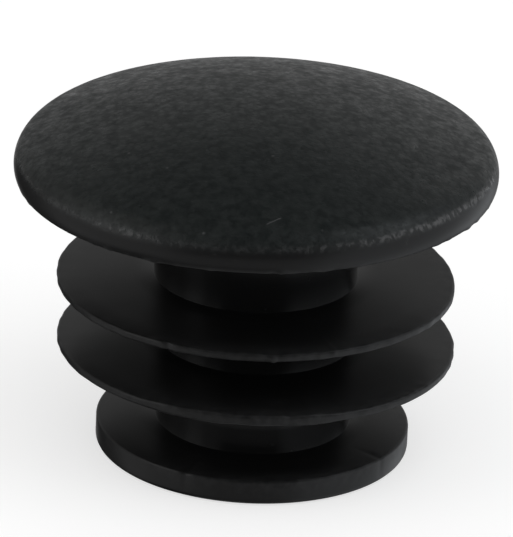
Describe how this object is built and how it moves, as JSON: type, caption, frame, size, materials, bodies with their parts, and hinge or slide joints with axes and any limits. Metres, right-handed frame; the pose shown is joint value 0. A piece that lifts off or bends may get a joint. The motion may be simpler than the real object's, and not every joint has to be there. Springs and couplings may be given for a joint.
{
  "type": "handlebar end plug",
  "caption": "Round push-in end plug for a handlebar tube: shallow domed head, slim stem, thin flexible sealing fins and a smaller foot disc.",
  "frame": {"origin": "centre of the foot's flat lower face, on the plug's axis", "axes": "+Z along the plug's axis, from the foot up to the domed head; the plug is round, so X and Y are alike"},
  "size_m": [0.025, 0.025, 0.0192],
  "materials": {
    "moulding": "black moulded plastic: fine spark-eroded grain on the dome, smooth satin on the lip, stem, fins and foot"
  },
  "bodies": {
    "root": {"end_plug": "moulding"}
  },
  "joints": []
}
